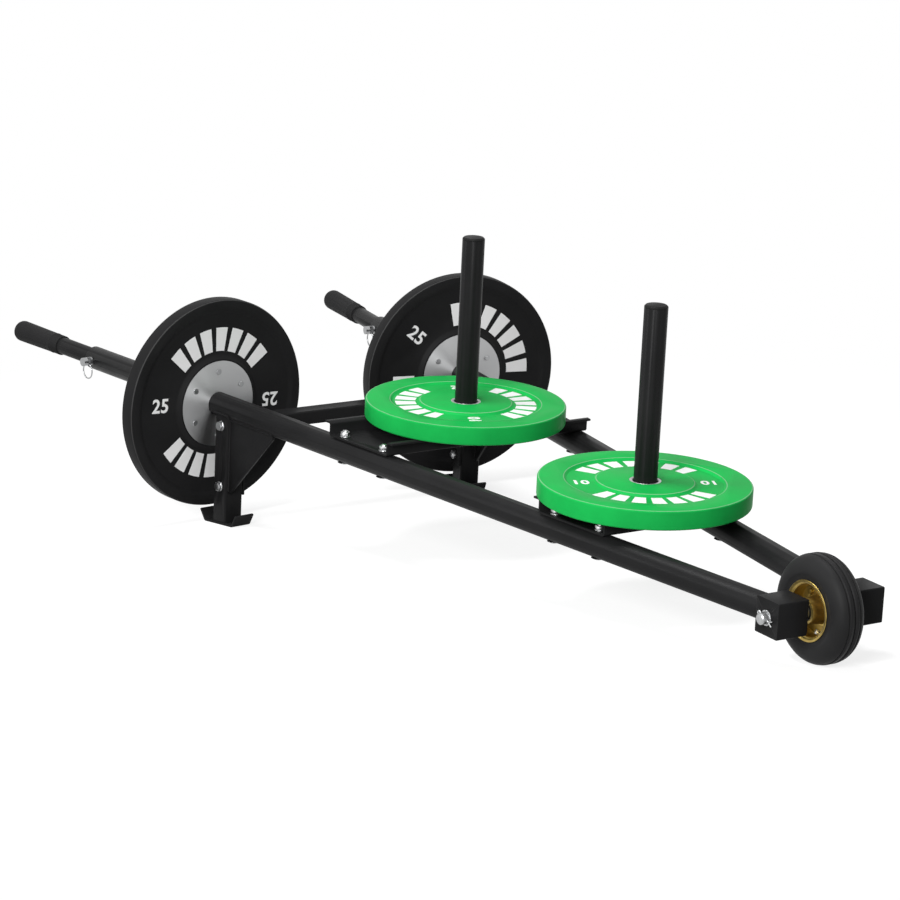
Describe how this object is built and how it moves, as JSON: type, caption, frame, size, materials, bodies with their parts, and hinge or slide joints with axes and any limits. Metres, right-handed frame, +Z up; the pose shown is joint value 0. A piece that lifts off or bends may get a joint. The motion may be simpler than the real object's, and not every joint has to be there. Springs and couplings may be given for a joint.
{
  "type": "plate-loaded wheelbarrow",
  "caption": "Long converging tube frame on one small front wheel and two rear legs, with upright posts and rear sleeves that hold weight plates, and gripped handles for carrying it.",
  "frame": {"origin": "Centre of the bounding box in X and Y, on the floor that the feet and the tyre stand on.", "axes": "+X runs forward to the wheel, +Y to the left, +Z up. The frame tubes run down to the wheel at 5.4 degrees, and each is turned 7.99 degrees from the middle plane."},
  "size_m": [2.4914, 1.0748, 0.6498],
  "materials": {
    "black_frame": "matte black powder coat",
    "zinc": "bright zinc plate",
    "bright_pin": "bright zinc plate, turned",
    "bearing_steel": "ground bearing steel",
    "tyre": "black tyre rubber",
    "butyl": "smooth black butyl",
    "gold_rim": "gold passivated steel pressing",
    "cap_plastic": "moulded black",
    "grip_rubber": "matte black-grey rubber sleeve",
    "black_rubber": "moulded black rubber",
    "green_rubber": "moulded green rubber",
    "plate_steel": "brushed steel"
  },
  "bodies": {
    "frame": {"frame_tube_right": "black_frame", "frame_tube_left": "black_frame", "axle_box_right": "black_frame", "axle_box_left": "black_frame", "leg_right": "black_frame", "leg_left": "black_frame", "leg_gusset_right": "black_frame", "leg_gusset_left": "black_frame", "foot_right": "black_frame", "foot_left": "black_frame", "rear_crossmember": "black_frame", "crossmember_end_plates": "black_frame", "leg_bolts": "zinc", "leg_nuts": "zinc", "leg_washers": "zinc", "rear_channel": "black_frame", "front_channel": "black_frame", "channel_bolts": "zinc", "channel_nuts": "zinc", "channel_washers": "zinc", "rear_post": "black_frame", "front_post": "black_frame", "post_caps": "cap_plastic", "handle_tube_right": "black_frame", "handle_tube_left": "black_frame", "grip_right": "grip_rubber", "grip_left": "grip_rubber", "axle": "zinc", "axle_cotter": "zinc", "axle_washers": "zinc", "axle_spacers": "zinc", "bearing_inner_races": "bearing_steel"},
    "wheel": {"tyre": "tyre", "inner_tube": "butyl", "rim_right_half": "gold_rim", "rim_left_half": "gold_rim", "rim_bolts": "zinc", "rim_nuts": "zinc", "bearing_outer_races": "bearing_steel", "bearing_balls": "bearing_steel", "valve_stem": "butyl", "valve_cap": "zinc"},
    "black_plate_right": {"black_plate_right": "black_rubber", "plate_hub_right": "plate_steel", "hub_rivets_right": "plate_steel"},
    "black_plate_left": {"black_plate_left": "black_rubber", "plate_hub_left": "plate_steel", "hub_rivets_left": "plate_steel"},
    "green_plate_rear": {"green_plate_rear": "green_rubber", "bore_ring_rear": "plate_steel"},
    "green_plate_front": {"green_plate_front": "green_rubber", "bore_ring_front": "plate_steel"},
    "lock_pin_right": {"lock_pin_right": "bright_pin"},
    "lock_pin_left": {"lock_pin_left": "bright_pin"},
    "pull_ring_right": {"pull_ring_right": "bright_pin"},
    "pull_ring_left": {"pull_ring_left": "bright_pin"}
  },
  "joints": [
    {"name": "wheel_spin", "type": "hinge", "parent": "frame", "child": "wheel", "pos_m": [1.14421, 0, 0.1015], "axis": [0, 1, 0], "continuous": true},
    {"name": "black_plate_right_slide", "type": "slide", "parent": "frame", "child": "black_plate_right", "axis": [-0.9859, -0.139, 0.0932], "range_m": [-0.017, 0.34]},
    {"name": "black_plate_left_slide", "type": "slide", "parent": "frame", "child": "black_plate_left", "axis": [-0.9859, 0.139, 0.0932], "range_m": [-0.017, 0.34]},
    {"name": "green_plate_rear_lift", "type": "slide", "parent": "frame", "child": "green_plate_rear", "axis": [0.0941, 0, 0.9956], "range_m": [0, 0.34]},
    {"name": "green_plate_front_lift", "type": "slide", "parent": "frame", "child": "green_plate_front", "axis": [0.0941, 0, 0.9956], "range_m": [0, 0.34]},
    {"name": "lock_pin_right_pull", "type": "slide", "parent": "frame", "child": "lock_pin_right", "axis": [0.1384, -0.9903, -0.0131], "range_m": [0, 0.07]},
    {"name": "lock_pin_left_pull", "type": "slide", "parent": "frame", "child": "lock_pin_left", "axis": [-0.1384, -0.9903, 0.0131], "range_m": [0, 0.07]},
    {"name": "pull_ring_right_swing", "type": "hinge", "parent": "lock_pin_right", "child": "pull_ring_right", "pos_m": [-0.93001, -0.40314, 0.29174], "axis": [0.9859, 0.139, -0.0932], "range_deg": [-45, 38]},
    {"name": "pull_ring_left_swing", "type": "hinge", "parent": "lock_pin_left", "child": "pull_ring_left", "pos_m": [-0.93921, 0.33729, 0.29262], "axis": [0.9859, -0.139, -0.0932], "range_deg": [-45, 38]}
  ]
}
